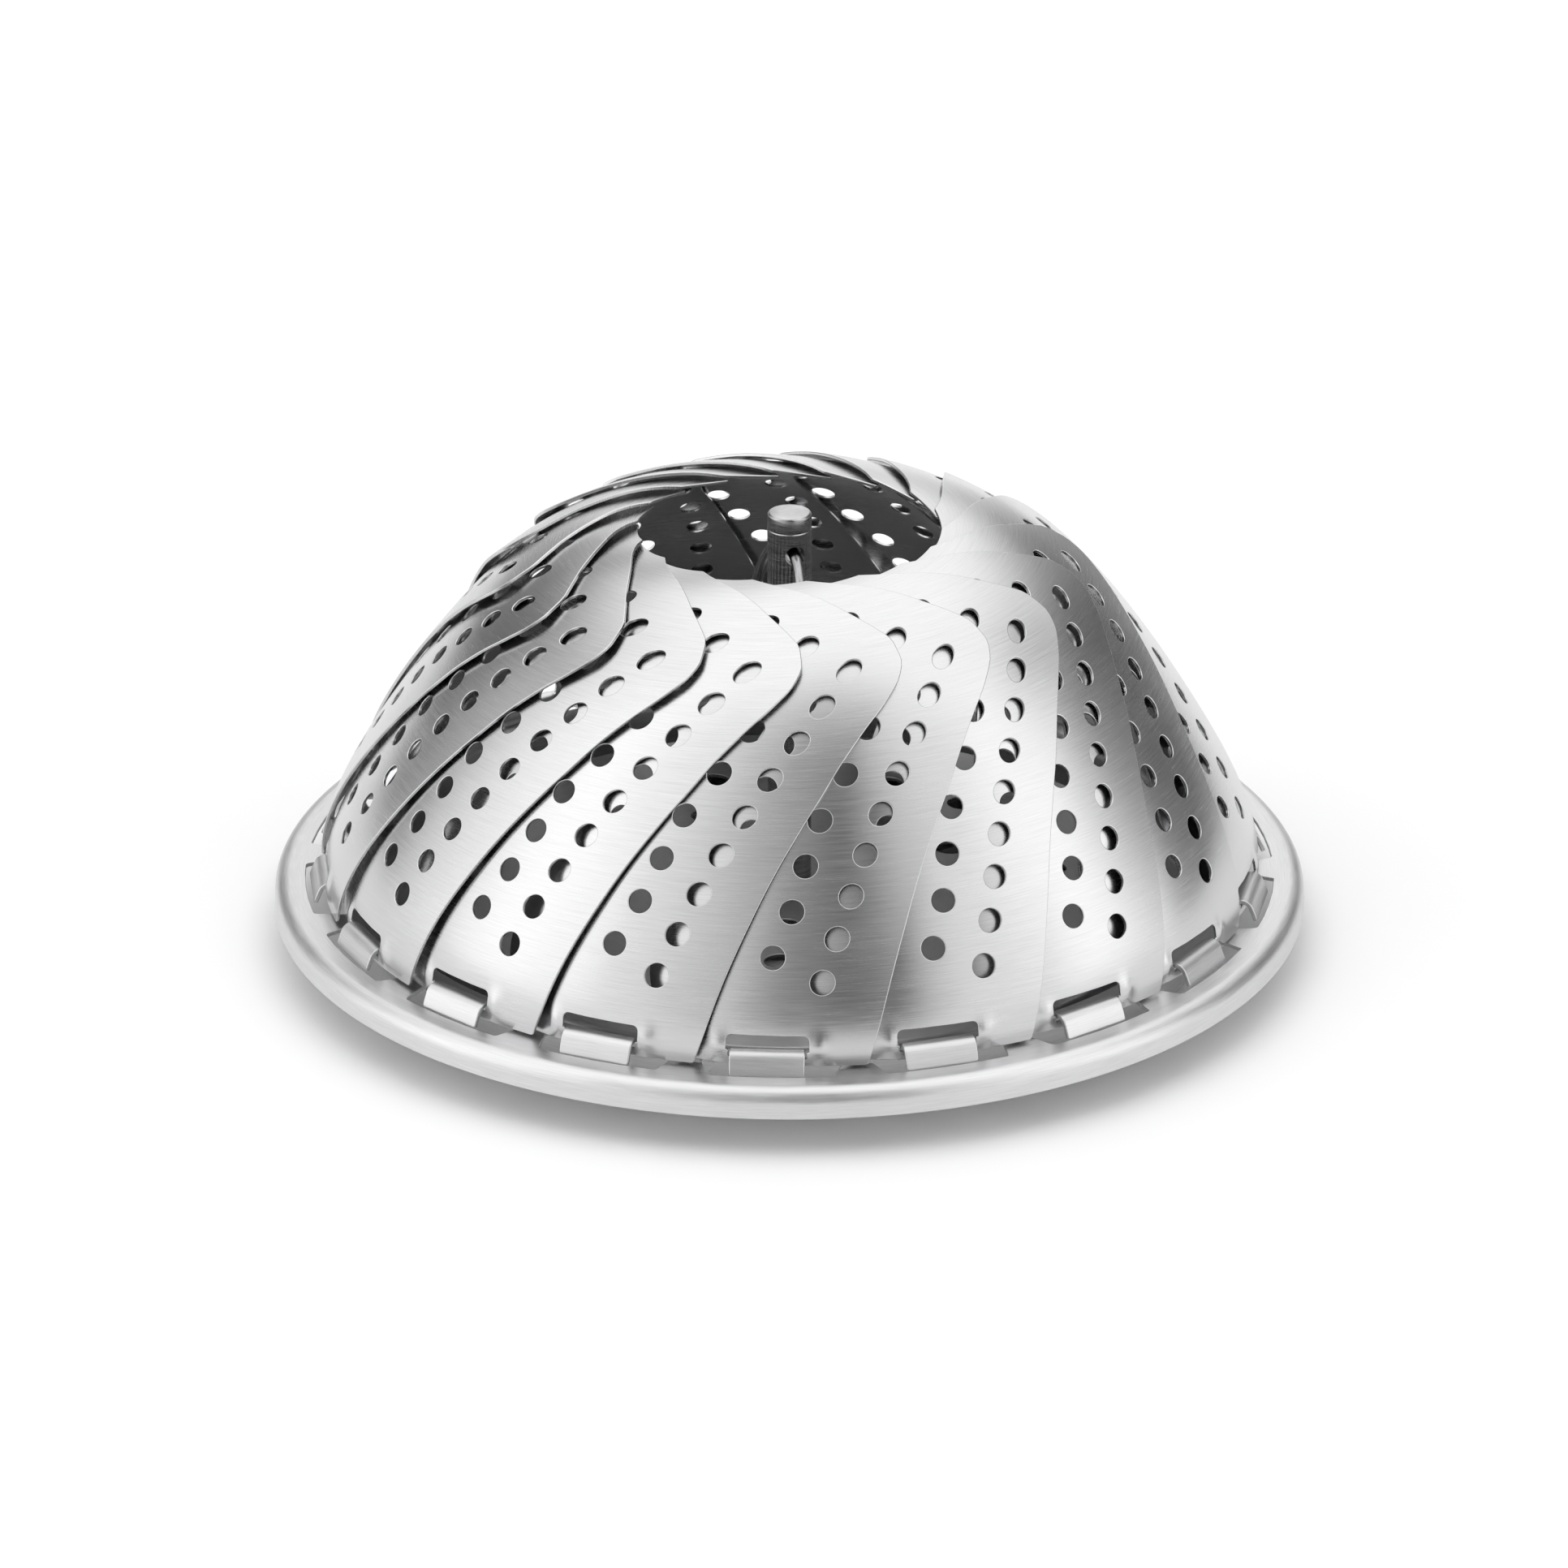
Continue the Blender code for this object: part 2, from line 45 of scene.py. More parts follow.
# ------------------------------------------------------------------ dimensions
RIM_LIFT = 5.0
PLATE_T = 0.6
FLANGE = RIM_LIFT + 3.86 - PLATE_T / 2       # middle of the flange's sheet
FIELD = 5.6 - PLATE_T / 2                    # middle of the perforated field
HINGE_R, HINGE_Z = 62.8, RIM_LIFT + 4.75
TAB_HALF, TAB_R = 4.8, 1.3
LEAF_T, LEAF_R0, LEAF_Z0, LEAF_LEN = 0.45, 63.0, RIM_LIFT + 4.25, 68.1
LEAF_BEND = (218.7, -518.0, 531.4, -162.7)
LEAF_LIFT = ((2.66, 1.47, -1.76), (-6.65, -2.31, 8.94), (15.10, -15.63, 0.0))
FREE_EDGE = ((0.0, 11.6), (10.4, 14.7), (16.0, 16.8), (23.4, 20.2), (30.0, 24.3),
             (33.4, 26.9), (38.0, 30.7), (42.0, 35.0), (46.0, 40.4), (48.6, 43.6),
             (51.0, 45.0), (53.5, 44.8), (56.0, 42.2), (58.5, 38.3), (60.8, 34.2),
             (63.1, 28.6), (65.4, 20.0), (67.2, 12.5), (68.1, 9.0))
COVERED_EDGE = ((0.0, -10.0), (6.0, -13.6), (12.0, -15.2), (18.0, -14.6), (23.4, -12.6),
                (30.0, -9.8), (36.0, -6.6), (42.0, -3.0), (48.0, 1.2), (53.0, 2.2),
                (58.0, -1.5), (62.0, -6.5), (68.1, -14.0))
HOLE_R = 1.55
POST_R, POST_TOP = 2.95, RIM_LIFT + 54.7
RING_HOLE_Z, RING_AZ, RING_R, RING_WIRE, RING_LEAN = RIM_LIFT + 49.4, 108.6, 10.0, 0.75, 12.0
LEG_PIVOT_R, LEG_PIVOT_Z, LEG_WIRE, LEG_LEN, LEG_AZ = 46.5, 3.4, 1.2, 34.5, (-90.0, 30.0, 150.0)
CLIP_W = 8.0


# --------------------------------------------------------------------- helpers
def spline(knots):
    """Shape-preserving cubic through (x, y) knots, for arrays."""
    x = np.array([k[0] for k in knots], float)
    y = np.array([k[1] for k in knots], float)
    h = np.diff(x)
    d = np.diff(y) / h
    m = np.zeros(len(x))
    m[0], m[-1] = d[0], d[-1]
    for i in range(1, len(x) - 1):
        if d[i - 1] * d[i] > 0:
            w1, w2 = 2 * h[i] + h[i - 1], h[i] + 2 * h[i - 1]
            m[i] = (w1 + w2) / (w1 / d[i - 1] + w2 / d[i])

    def f(v):
        v = np.asarray(v, float)
        i = np.clip(np.searchsorted(x, v) - 1, 0, len(h) - 1)
        t = (v - x[i]) / h[i]
        return ((2 * t ** 3 - 3 * t ** 2 + 1) * y[i] + (t ** 3 - 2 * t ** 2 + t) * h[i] * m[i]
                + (3 * t ** 2 - 2 * t ** 3) * y[i + 1] + (t ** 3 - t ** 2) * h[i] * m[i + 1])
    return f


def rounded(corners, parts=5, closed=True):
    """Polygon from (x, y, radius) corners, each rounded where its radius is above zero."""
    n = len(corners)
    out = []
    for k, (x, y, rad) in enumerate(corners):
        p = np.array((x, y))
        ends = not closed and k in (0, n - 1)
        if rad <= 0 or ends:
            out.append(p)
            continue
        a = np.array(corners[k - 1][:2]) - p
        b = np.array(corners[(k + 1) % n][:2]) - p
        la, lb = np.hypot(*a), np.hypot(*b)
        a, b = a / la, b / lb
        half = 0.5 * math.acos(float(np.clip(a @ b, -1, 1)))
        cut = min(rad / math.tan(half), 0.48 * la if corners[k - 1][2] > 0 else 0.9 * la,
                  0.48 * lb if corners[(k + 1) % n][2] > 0 else 0.9 * lb)
        rad = cut * math.tan(half)
        mid = (a + b) / np.hypot(*(a + b))
        centre = p + mid * rad / math.sin(half)
        u, v = p + a * cut - centre, p + b * cut - centre
        turn = math.atan2(u[0] * v[1] - u[1] * v[0], float(u @ v))
        for j in range(parts + 1):
            t = turn * j / parts
            out.append(centre + np.array((u[0] * math.cos(t) - u[1] * math.sin(t),
                                          u[0] * math.sin(t) + u[1] * math.cos(t))))
    return np.array(out)


def ring2d(cx, cy, r, n, turn=0.0):
    a = turn + 2 * np.pi * np.arange(n) / n
    return np.stack([cx + r * np.cos(a), cy + r * np.sin(a)], 1)


def area2d(p):
    q = np.roll(p, -1, 0)
    return 0.5 * float(np.sum(p[:, 0] * q[:, 1] - q[:, 0] * p[:, 1]))


def within(pts, loop):
    """Which points lie inside a closed polygon."""
    hit = np.zeros(len(pts), bool)
    a, b = loop, np.roll(loop, -1, 0)
    x, y = pts[:, 0], pts[:, 1]
    for (ax, ay), (bx, by) in zip(a, b):
        if ay != by:
            cross = ((ay > y) != (by > y)) & (x < (bx - ax) * (y - ay) / (by - ay) + ax)
            hit ^= cross
    return hit


def unit(v):
    return v / np.maximum(np.linalg.norm(v, axis=-1, keepdims=True), 1e-12)


def sheet(loops, inner, surface, thick, edge, steps=3):
    """Closed sheet-metal solid with rounded edges. loops[0] is the outline and
    the others are holes, in flat-pattern coordinates; surface(p) gives the
    points and unit normals of the sheet's middle. Returns points, normals,
    flat coordinates and faces."""
    loops = [np.asarray(lp, float) for lp in loops]
    loops = [lp if (area2d(lp) > 0) == (k == 0) else lp[::-1] for k, lp in enumerate(loops)]
    insets = []
    for lp in loops:
        d = unit(np.roll(lp, -1, 0) - lp)
        left = np.stack([-d[:, 1], d[:, 0]], 1)
        prev = np.roll(left, 1, 0)
        m = unit(left + prev)
        insets.append(lp + m * edge / np.maximum(0.6, np.sum(m * left, 1))[:, None])
    near = np.concatenate(insets)
    inner = np.asarray(inner, float).reshape(-1, 2)
    ok = within(inner, insets[0])
    for lp in insets[1:]:
        lo, hi = lp.min(0) - 1, lp.max(0) + 1
        some = ok & np.all((inner > lo) & (inner < hi), 1)
        idx = np.nonzero(some)[0]
        if len(idx):
            ok[idx[within(inner[idx], lp)]] = False
    inner = inner[ok]
    keep = np.ones(len(inner), bool)
    for k in range(0, len(inner), 400):
        part = inner[k:k + 400]
        keep[k:k + 400] = np.min(np.hypot(part[:, None, 0] - near[None, :, 0],
                                          part[:, None, 1] - near[None, :, 1]), 1) > 0.45
    inner = inner[keep]
    flat = np.concatenate([near, inner])
    edges, base, starts = [], 0, []
    for lp in insets:
        n = len(lp)
        starts.append(base)
        edges += [(base + k, base + (k + 1) % n) for k in range(n)]
        base += n
    got = delaunay_2d_cdt([Vector(p) for p in flat], edges, [], 0, 1e-6, True)
    out_v, out_f, came = np.array([tuple(v) for v in got[0]]), got[2], got[3]
    which = np.full(len(flat), -1)
    for k, olds in enumerate(came):
        for o in olds:
            which[o] = k
    tri = np.array([f for f in out_f if len(f) == 3])
    mid = out_v[tri].mean(1)
    good = within(mid, insets[0])
    for lp in insets[1:]:
        lo, hi = lp.min(0), lp.max(0)
        idx = np.nonzero(good & np.all((mid > lo) & (mid < hi), 1))[0]
        if len(idx):
            good[idx[within(mid[idx], lp)]] = False
    tri = tri[good]

    x, nrm = surface(out_v)
    n_v = len(out_v)
    pts = [x + nrm * thick / 2, x - nrm * thick / 2]
    nor = [nrm, -nrm]
    uv = [out_v, out_v]
    faces = [tuple(f) for f in tri] + [tuple(n_v + i for i in f[::-1]) for f in tri]
    count = 2 * n_v
    angles = [math.radians(a) for a in np.linspace(90, 0, steps + 1)]
    rows = [(math.cos(a), thick / 2 - edge + edge * math.sin(a), a) for a in angles[1:]]
    rows += [(c, -h, -a) for c, h, a in rows[::-1]]
    for lp, ins, start in zip(loops, insets, starts):
        n = len(lp)
        xq, nq = surface(ins)
        xp, _ = surface(lp)
        out = xp - xq
        m = unit(out - nq * np.sum(out * nq, 1, keepdims=True))
        top = which[start:start + n]
        prev = top
        for c, h, a in rows:
            pts.append(xq + out * c + nq * h)
            nor.append(unit(nq * math.sin(a) + m * math.cos(a)))
            uv.append(ins + (lp - ins) * c)
            now = np.arange(count, count + n)
            count += n
            nx = np.roll(np.arange(n), -1)
            faces += [(now[k], now[nx[k]], prev[nx[k]], prev[k]) for k in range(n)]
            prev = now
        low = top + n_v
        nx = np.roll(np.arange(n), -1)
        faces += [(low[k], low[nx[k]], prev[nx[k]], prev[k]) for k in range(n)]
    pts, nor, uv = np.concatenate(pts), np.concatenate(nor), np.concatenate(uv)
    # outward faces, whichever way round the flat pattern lies
    f = np.array(faces[0])
    if np.cross(pts[f[1]] - pts[f[0]], pts[f[2]] - pts[f[0]]) @ nor[f[0]] < 0:
        faces = [f[::-1] for f in faces]
    return pts, nor, uv, [tuple(int(i) for i in f) for f in faces]


def add_mesh(name, pts, nor, uv, faces, mat, turn=0.0, shift=(0.0, 0.0), wrap=None):
    """Object of a solid given in millimetres, turned about Z. uv goes out as (across, along) the grain."""
    c, s = math.cos(turn), math.sin(turn)
    rot = np.array(((c, -s, 0), (s, c, 0), (0, 0, 1)))
    me = bpy.data.meshes.new(name)
    me.from_pydata((pts @ rot.T * MM).tolist(), [], faces)
    loops = np.empty(len(me.loops), int)
    me.loops.foreach_get("vertex_index", loops)
    co = np.asarray(uv)[loops]
    if wrap is not None:
        # corners of a face that crosses the seam stay on one side of it
        begin = np.empty(len(me.polygons), int)
        me.polygons.foreach_get("loop_start", begin)
        total = np.empty(len(me.polygons), int)
        me.polygons.foreach_get("loop_total", total)
        first = np.repeat(co[begin, 1], total)
        co[:, 1] -= wrap * np.round((co[:, 1] - first) / wrap)
    layer = me.uv_layers.new(name="sheet")
    layer.data.foreach_set("uv", ((co + np.array(shift)) * 0.1).astype(np.float32).ravel())
    me.materials.append(mat)
    me.shade_smooth()
    if nor is not None:
        me.normals_split_custom_set_from_vertices((nor @ rot.T).tolist())
    me.validate()
    ob = bpy.data.objects.new(name, me)
    bpy.context.scene.collection.objects.link(ob)
    return ob


def stand(ob, body, node):
    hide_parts(node)
    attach(ob, body)
    return ob


# ------------------------------------------------------------------- materials
class Tree:
    """Short hand for building a node tree."""

    def __init__(self, tree):
        self.t = tree

    def node(self, kind, **sets):
        n = self.t.nodes.new(kind)
        for k, v in sets.items():
            setattr(n, k, v)
        return n

    def link(self, a, b):
        self.t.links.new(a, b)

    def put(self, sock, v):
        if isinstance(v, bpy.types.NodeSocket):
            self.link(v, sock)
        else:
            sock.default_value = v

    def math(self, op, a, b=0.0, clamp=False):
        n = self.node("ShaderNodeMath", operation=op, use_clamp=clamp)
        self.put(n.inputs[0], a)
        self.put(n.inputs[1], b)
        return n.outputs[0]

    def vmul(self, a, v):
        n = self.node("ShaderNodeVectorMath", operation="MULTIPLY")
        self.put(n.inputs[0], a)
        n.inputs[1].default_value = v
        return n.outputs[0]

    def noise(self, vec, scale, detail=2.0, rough=0.5):
        n = self.node("ShaderNodeTexNoise", noise_dimensions="3D")
        self.link(vec, n.inputs["Vector"])
        n.inputs["Scale"].default_value = scale
        n.inputs["Detail"].default_value = detail
        n.inputs["Roughness"].default_value = rough
        return n.outputs[0]

    def span(self, v, a, b, c, d, smooth=False):
        n = self.node("ShaderNodeMapRange", interpolation_type="SMOOTHSTEP" if smooth else "LINEAR")
        for i, x in enumerate((v, a, b, c, d)):
            self.put(n.inputs[i], x)
        return n.outputs[0]


def steel(name, dark, light, rough, aniso, where="sheet", fine=(60.0, 1.2), broad=(14.0, 0.5),
          cloud=0.8, scratch=0.000004, wave=0.00003, rotation=0.0, flat=None):
    """Brushed or turned stainless steel. The grain runs along the second flat
    coordinate, or round the Z axis, or all ways on small parts. flat is a lighter
    grey painted on faces that point up, a painted highlight on the post's top."""
    m = bpy.data.materials.new(name)
    m.use_nodes = True
    t = Tree(m.node_tree)
    b = m.node_tree.nodes["Principled BSDF"]
    if where == "sheet":
        at = t.node("ShaderNodeUVMap", uv_map="sheet").outputs[0]
        tangent = t.node("ShaderNodeTangent", direction_type="UV_MAP", uv_map="sheet").outputs[0]
        stretch_f, stretch_b, even = (fine[0], fine[1], 1.0), (broad[0], broad[1], 1.0), (1.0, 1.0, 1.0)
    else:
        at = t.vmul(t.node("ShaderNodeTexCoord").outputs["Object"], (100.0, 100.0, 100.0))
        tangent = t.node("ShaderNodeTangent", direction_type="RADIAL", axis="Z").outputs[0]
        stretch_f = (fine[1], fine[1], fine[0])
        stretch_b = (broad[1], broad[1], broad[0])
        even = (1.0, 1.0, 1.0)
    hair = t.noise(t.vmul(at, stretch_f), 1.0, 3.0, 0.65)
    line = t.noise(t.vmul(at, stretch_b), 1.0, 2.0, 0.6)
    soft = t.noise(t.vmul(at, even), cloud, 2.0, 0.5)
    grain = t.math("ADD", t.math("MULTIPLY", hair, 0.75), t.math("MULTIPLY", line, 0.25))

    mix = t.node("ShaderNodeMix", data_type="RGBA")
    tone = t.math("ADD", t.span(grain, 0.32, 0.68, 0.0, 0.75), t.math("MULTIPLY", soft, 0.25))
    t.link(tone, mix.inputs[0])
    mix.inputs[6].default_value = (*dark, 1.0)
    mix.inputs[7].default_value = (*light, 1.0)
    colour = mix.outputs[2]
    # painted highlight: faces whose normal points up take the lighter flat grey, standing in for the light falling
    # on the top
    if flat is not None:
        axis = t.node("ShaderNodeSeparateXYZ")
        t.link(t.node("ShaderNodeTexCoord").outputs["Normal"], axis.inputs[0])
        painted_top_highlight = t.node("ShaderNodeMix", data_type="RGBA")
        t.link(t.span(axis.outputs[2], 0.5, 0.9, 0.0, 1.0), painted_top_highlight.inputs[0])
        t.link(colour, painted_top_highlight.inputs[6])
        shade = t.node("ShaderNodeCombineColor")
        for k in range(3):
            t.link(t.span(tone, 0.0, 1.0, flat, flat + 0.16), shade.inputs[k])
        t.link(shade.outputs[0], painted_top_highlight.inputs[7])
        colour = painted_top_highlight.outputs[2]
    t.link(colour, b.inputs["Base Color"])
    b.inputs["Metallic"].default_value = 1.0

    r = t.math("ADD", t.span(grain, 0.3, 0.7, rough[0], rough[1]), t.span(soft, 0.3, 0.7, -0.03, 0.03))
    t.link(r, b.inputs["Roughness"])
    b.inputs["Anisotropic"].default_value = aniso
    b.inputs["Anisotropic Rotation"].default_value = rotation
    t.link(tangent, b.inputs["Tangent"])

    low = t.node("ShaderNodeBump")
    low.inputs["Strength"].default_value = 1.0
    low.inputs["Distance"].default_value = wave
    t.link(soft, low.inputs["Height"])
    high = t.node("ShaderNodeBump")
    high.inputs["Strength"].default_value = 1.0
    high.inputs["Distance"].default_value = scratch
    t.link(grain, high.inputs["Height"])
    t.link(low.outputs[0], high.inputs["Normal"])
    t.link(high.outputs[0], b.inputs["Normal"])
    return m


LEAF_STEEL = steel("leaf_steel", (0.54, 0.54, 0.545), (0.67, 0.67, 0.675), (0.20, 0.29), 0.55,
                   fine=(95.0, 1.8), broad=(24.0, 0.6), cloud=0.7, scratch=0.0000016, wave=0.00003)
PLATE_STEEL = steel("plate_steel", (0.57, 0.57, 0.575), (0.74, 0.74, 0.745), (0.34, 0.45), 0.25,
                    fine=(70.0, 2.2), broad=(16.0, 0.8), cloud=1.3, scratch=0.0000014)
# flat=0.39 paints the post's upward faces lighter, a painted highlight on its top
POST_STEEL = steel("post_steel", (0.16, 0.16, 0.162), (0.66, 0.66, 0.665), (0.16, 0.24), 0.6,
                   where="axis", fine=(70.0, 4.0), broad=(18.0, 1.2), cloud=2.0, scratch=0.000003,
                   wave=0.000004, rotation=0.25, flat=0.39)
# wire_steel is a darker copy of the steel, painted shade so the ring's and legs' wire reads dark like the shaded
# post
WIRE_STEEL = steel("wire_steel", (0.26, 0.26, 0.265), (0.46, 0.46, 0.465), (0.12, 0.22), 0.3,
                   fine=(6.0, 40.0), broad=(2.0, 9.0), cloud=2.5, scratch=0.0000015, wave=0.000005)
ZINC = steel("zinc", (0.46, 0.47, 0.49), (0.62, 0.63, 0.65), (0.26, 0.42), 0.0,
             where="axis", fine=(30.0, 30.0), broad=(9.0, 9.0), cloud=3.0, scratch=0.000002,
             wave=0.000004)

# ------------------------------------------------------------------------ leaf
STEP = 0.02
S_TAB = np.arange(-1.0, LEAF_LEN + 1.5, STEP)


def leaf_slope(s):
    t = np.maximum(s, 0.0) / 60.0
    return np.radians(sum(c * t ** (k + 1) for k, c in enumerate(LEAF_BEND)))


_a = leaf_slope(S_TAB[:-1] + STEP / 2)
R_TAB = np.concatenate([[0.0], np.cumsum(-np.sin(_a) * STEP)])
Z_TAB = np.concatenate([[0.0], np.cumsum(np.cos(_a) * STEP)])
R_TAB += LEAF_R0 - np.interp(0.0, S_TAB, R_TAB)
Z_TAB += LEAF_Z0 - np.interp(0.0, S_TAB, Z_TAB)


def leaf_at(w, s):
    """Flat pattern to the pressed leaf, with the raised lips beside its slot."""
    r, z = np.interp(s, S_TAB, R_TAB), np.interp(s, S_TAB, Z_TAB)
    phi = np.degrees(w / r)
    x, t = phi / 45.0, s / 60.0
    e = sum((a + b * t + c * t * t) * x ** (k + 1) for k, (a, b, c) in enumerate(LEAF_LIFT))
    e = e + 0.36 * np.exp(-((np.abs(w) - 6.35) / 1.1) ** 2 - ((s - 2.3) / 1.6) ** 2)
    up = leaf_slope(s)
    rr = r + e * np.cos(up)
    p = np.radians(phi)
    return np.stack([rr * np.sin(p), -rr * np.cos(p), z + e * np.sin(up)], -1)


def leaf_surface(p):
    w, s = p[:, 0], p[:, 1]
    h = 0.06
    du = leaf_at(w + h, s) - leaf_at(w - h, s)
    dv = leaf_at(w, s + h) - leaf_at(w, s - h)
    return leaf_at(w, s), unit(np.cross(du, dv))


def leaf_parts():
    free, covered = spline(FREE_EDGE), spline(COVERED_EDGE)

    def flat(phi, s):
        return np.array((math.radians(float(phi)) * float(np.interp(s, S_TAB, R_TAB)), float(s)))

    edge = []
    for s in np.concatenate([[0.0], np.arange(1.2, LEAF_LEN - 0.8, 0.9), [LEAF_LEN]]):
        p = flat(free(s), s)
        edge.append((p[0], p[1], 0.5 if s in (0.0, LEAF_LEN) else 0.0))
    for phi in np.linspace(9.0, -14.0, 18)[1:-1]:
        p = flat(phi, LEAF_LEN)
        edge.append((p[0], p[1], 0.0))
    for s in np.concatenate([[LEAF_LEN], np.arange(LEAF_LEN - 1.4, 1.0, -1.3), [0.0]]):
        p = flat(covered(s), s)
        edge.append((p[0], p[1], 0.5 if s in (0.0, LEAF_LEN) else 0.0))
    for phi in np.linspace(-10.0, 11.4, 20)[1:-1]:
        p = flat(phi, 0.0)
        edge.append((p[0], p[1], 0.0))
    loops = [rounded(edge, 3)]

    slot = [(-4.98, 1.05, 0.15), (4.98, 1.05, 0.15), (4.98, 1.85, 0.0), (5.3, 1.95, 0.1),
            (5.3, 3.9, 0.75), (2.0, 3.9, 0.0), (-2.0, 3.9, 0.0), (-5.3, 3.9, 0.75),
            (-5.3, 1.95, 0.1), (-4.98, 1.85, 0.0)]
    loops.append(rounded(slot, 5))

    centres = []

    def column(pairs):
        for phi, s in pairs:
            centres.append(flat(phi, s))

    f = spline(((10.6, 6.5), (15.9, 8.45), (21.2, 10.6), (26.5, 13.1), (31.7, 16.15), (36.6, 19.7),
                (41.5, 24.1), (46.0, 28.7), (50.3, 34.3)))
    column((f(s), s) for s in (10.6 + 5.5 * k - 0.067 * k * k for k in range(9)))
    f = spline(((13.5, 0.4), (20.2, 3.1), (25.9, 4.95), (31.7, 7.3), (36.8, 11.3), (42.5, 15.9),
                (48.2, 20.7), (54.4, 26.2)))
    column((f(s), s) for s in (13.8 + 5.8 * k for k in range(8)))
    f = spline(((19.0, -4.6), (31.0, -2.6), (41.0, 1.2), (50.0, 8.0), (58.2, 16.9)))
    column((f(s), s) for s in (18.5 + 5.67 * k for k in range(8)))
    loops += [ring2d(c[0], c[1], HOLE_R, 28, 0.11 * k) for k, c in enumerate(centres)]

    w, s = np.meshgrid(np.arange(-24, 40, 1.7), np.arange(0.4, LEAF_LEN, 1.7))
    w = w + 0.85 * (np.arange(w.shape[0])[:, None] % 2)
    inner = np.stack([w.ravel(), s.ravel()], 1)
    w, s = np.meshgrid(np.arange(-9.6, 9.7, 0.6), np.arange(0.45, 6.4, 0.6))
    close = np.stack([w.ravel(), s.ravel()], 1)
    far = ~((np.abs(inner[:, 0]) < 10.2) & (inner[:, 1] < 6.8))
    return sheet(loops, np.concatenate([inner[far], close]), leaf_surface, LEAF_T, 0.12)


leaf = leaf_parts()
for i in range(N):
    ob = add_mesh("leaf_sheet_%02d" % (i + 1), *leaf[:2], leaf[2][:, ::-1], leaf[3], LEAF_STEEL,
                  turn=2 * math.pi * i / N, shift=(83.0 * i, 47.0 * ((i * 7) % 18)))
    stand(ob, "leaf_%02d" % (i + 1), "petal_%02d" % (i + 1))

# ------------------------------------------------------------------ base plate
SECTION = rounded([(0.0, FIELD, 0.0), (51.05, FIELD, 0.75), (51.5, 0.3, 0.85), (56.7, 0.3, 0.85),
                   (57.3, FLANGE, 0.9), (69.46, FLANGE, 1.75), (69.7, RIM_LIFT + 0.02, 0.0)],
                  8, closed=False)
_len = np.concatenate([[0.0], np.cumsum(np.hypot(*np.diff(SECTION, axis=0).T))])
_dir = unit(np.diff(SECTION, axis=0))
_turn = np.concatenate([[0.0], np.unwrap(np.arctan2(_dir[:, 1], _dir[:, 0])), [0.0]])
_turn[-1] = _turn[-2]
_vert = 0.5 * (_turn[:-1] + _turn[1:])
_vert[0], _vert[-1] = _turn[1], _turn[-2]


def reach(r):
    """Distance along the flange's section to radius r."""
    return float(np.interp(r, SECTION[-12:, 0], _len[-12:])) if r > 57.9 else r


def plate_surface(p):
    reach_, th = np.hypot(p[:, 0], p[:, 1]), np.arctan2(p[:, 1], p[:, 0])
    r = np.interp(reach_, _len, SECTION[:, 0])
    z = np.interp(reach_, _len, SECTION[:, 1])
    # the section's direction turns evenly along each rounded corner
    k = np.clip(np.searchsorted(_len, reach_) - 1, 0, len(_len) - 2)
    t = (reach_ - _len[k]) / (_len[k + 1] - _len[k])
    a = _vert[k] * (1 - t) + _vert[k + 1] * t
    long = (_len[k + 1] - _len[k]) > 0.9
    a = np.where(long, _turn[k + 1], a)
    x = np.stack([r * np.cos(th), r * np.sin(th), z], 1)
    n = np.stack([-np.sin(a) * np.cos(th), -np.sin(a) * np.sin(th), np.cos(a)], 1)
    return x, n


def plate_parts():
    cols = 288
    turn = 0.5
    loops = [ring2d(0, 0, _len[-1], cols, 0.0)]
    loops.append(ring2d(0, 0, 2.45, 36))
    for r, n, off in ((14.0, 6, 0.5), (25.0, 12, 0.0), (36.0, 18, 0.5)):
        for k in range(n):
            a = 2 * math.pi * (k + off) / n
            loops.append(ring2d(r * math.cos(a), r * math.sin(a), 2.2, 28))
    r_in, r_out = reach(60.9), reach(65.7)
    for i in range(N):
        c = -90.0 + 20.0 * i
        corner = []
        for r, angles, rads in ((r_out, (-6.6, -3.5, 0.0, 3.5, 7.6), (1.0, 0, 0, 0, 0.45)),
                                (r_in, (9.0, 5.0, 0.3, -4.0, -8.2), (0.5, 0, 0, 0, 0.5))):
            for d, rad in zip(angles, rads):
                a = math.radians(c + d)
                corner.append((r * math.cos(a), r * math.sin(a), rad))
        loops.append(rounded(corner, 5))
    inner = []
    for r in (5.0, 8.5, 11.5, 17, 20.5, 28.5, 32, 39.5, 43, 46):
        inner.append(ring2d(0, 0, r, int(r * 2.2)))
    for u in _len[1:-1]:
        inner.append(ring2d(0, 0, u, cols))
    for a, b in zip(_len[1:], _len[2:]):
        if b - a > 1.2:
            for f in np.linspace(0, 1, int((b - a) / 1.2) + 2)[1:-1]:
                inner.append(ring2d(0, 0, a + (b - a) * f, cols))
    return sheet(loops, np.concatenate(inner), plate_surface, PLATE_T, 0.14)


def tab_path():
    root = [(60.0, FLANGE, 0.0), (61.15, FLANGE, 0.35)]
    arc = [(HINGE_R + TAB_R * math.cos(math.radians(a)), HINGE_Z + TAB_R * math.sin(math.radians(a)), 0.0)
           for a in range(196, 20, -8)]
    return np.concatenate([rounded(root + [arc[0]], 5, closed=False), np.array(arc)[1:, :2],
                           [(64.40, 9.35), (64.62, 8.78), (64.75, RIM_LIFT + 3.46)]])


TAB = tab_path()
_tl = np.concatenate([[0.0], np.cumsum(np.hypot(*np.diff(TAB, axis=0).T))])
_ts = np.arctan2(*np.diff(TAB, axis=0).T[::-1])
_ts = np.unwrap(_ts)
_tv = np.concatenate([[_ts[0]], 0.5 * (_ts[:-1] + _ts[1:]), [_ts[-1]]])


